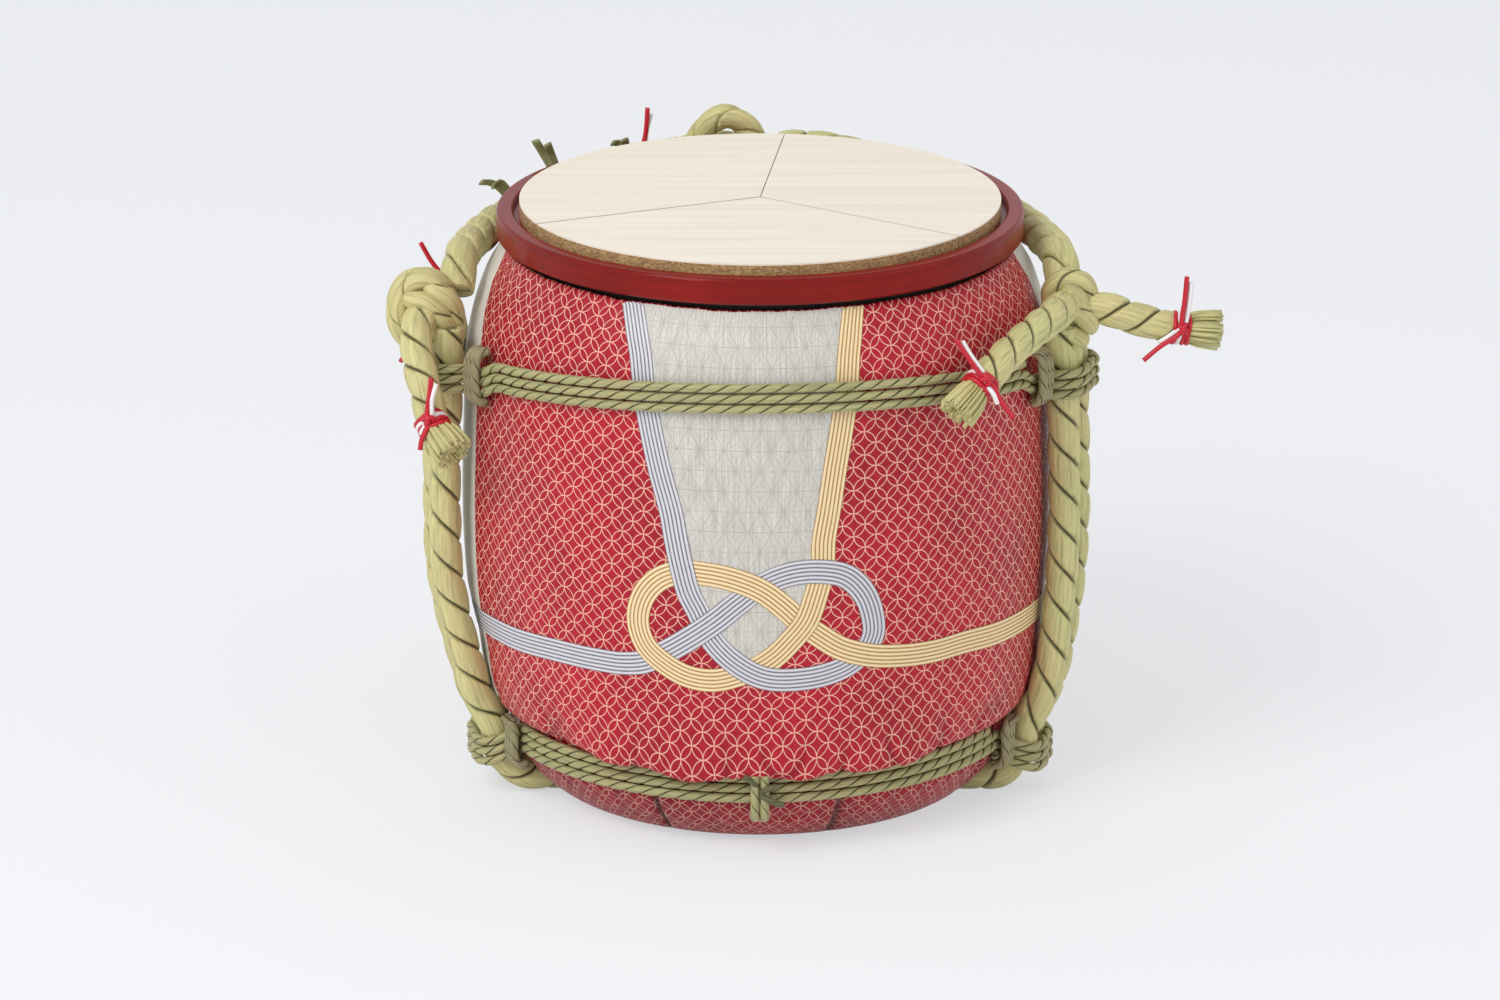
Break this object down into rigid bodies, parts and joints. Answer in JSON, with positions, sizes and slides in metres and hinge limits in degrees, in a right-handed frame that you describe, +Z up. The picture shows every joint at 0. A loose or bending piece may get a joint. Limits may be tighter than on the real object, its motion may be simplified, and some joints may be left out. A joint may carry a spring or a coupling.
{
  "type": "straw-wrapped sake barrel",
  "caption": "Small ceremonial sake barrel: stave tub with a lacquered rim and a split lid, wrapped in a printed straw mat and bound with straw rope.",
  "frame": {"origin": "on the barrel's axis, on the flat underside of its straw mat", "axes": "+Z up, -Y towards the front with the white panel, +X to the barrel's right as seen from the front"},
  "size_m": [0.3132, 0.249, 0.2373],
  "materials": {
    "tub_wood": "planed, bare",
    "board_wood": "planed, bare",
    "bamboo": "split bamboo, satin",
    "rim_lacquer": "vermilion lacquer, satin",
    "lid_core": "pressed board, sawn edge",
    "lid_veneer": "pale straight-grained veneer, bare",
    "loose_straw": "loose straw",
    "printed_mat": "woven straw mat, printed red, silver and gold",
    "rope_straw": "laid straw rope, dry",
    "thin_cord": "two-ply straw cord, dry",
    "lashing": "straw cord, dry, greyish",
    "tie_paper": "starched paper cord, red beside white"
  },
  "bodies": {
    "barrel": {"stave_1": "tub_wood", "stave_2": "tub_wood", "stave_3": "tub_wood", "stave_4": "tub_wood", "stave_5": "tub_wood", "stave_6": "tub_wood", "stave_7": "tub_wood", "stave_8": "tub_wood", "stave_9": "tub_wood", "stave_10": "tub_wood", "stave_11": "tub_wood", "stave_12": "tub_wood", "bottom_board_left": "board_wood", "bottom_board_middle": "board_wood", "bottom_board_right": "board_wood", "hoop_lower": "bamboo", "hoop_middle": "bamboo", "hoop_upper": "bamboo", "rim_ring": "rim_lacquer", "straw_packing": "loose_straw", "mat_wrap": "printed_mat", "rope_right": "rope_straw", "rope_left": "rope_straw", "rope_front": "rope_straw", "shoulder_rope_right": "rope_straw", "shoulder_rope_left": "rope_straw", "knot_right": "rope_straw", "knot_back": "rope_straw", "knot_left": "rope_straw", "tail_right_a": "rope_straw", "tail_back_a": "rope_straw", "tail_left_a": "rope_straw", "tail_right_b": "rope_straw", "tail_back_b": "rope_straw", "tail_left_b": "rope_straw", "tie_right_a": "tie_paper", "tie_back_a": "tie_paper", "tie_left_a": "tie_paper", "tie_right_b": "tie_paper", "tie_back_b": "tie_paper", "tie_left_b": "tie_paper", "waist_winding": "thin_cord", "sash_winding": "thin_cord", "waist_hitch_right": "lashing", "waist_hitch_back": "lashing", "waist_hitch_left": "lashing", "sash_hitch_right": "lashing", "sash_hitch_back": "lashing", "sash_hitch_left": "lashing", "waist_hitch_front": "thin_cord", "cord_end_1": "lashing", "cord_end_2": "lashing", "cord_end_3": "lashing"},
    "lid_left": {"lid_core_left": "lid_core", "lid_veneer_left": "lid_veneer"},
    "lid_front": {"lid_core_front": "lid_core", "lid_veneer_front": "lid_veneer"},
    "lid_right": {"lid_core_right": "lid_core", "lid_veneer_right": "lid_veneer"}
  },
  "joints": [
    {"name": "lid_left_lift", "type": "slide", "parent": "barrel", "child": "lid_left", "axis": [0, 0, 1], "range_m": [0, 0.08]},
    {"name": "lid_front_lift", "type": "slide", "parent": "barrel", "child": "lid_front", "axis": [0, 0, 1], "range_m": [0, 0.08]},
    {"name": "lid_right_lift", "type": "slide", "parent": "barrel", "child": "lid_right", "axis": [0, 0, 1], "range_m": [0, 0.08]}
  ]
}
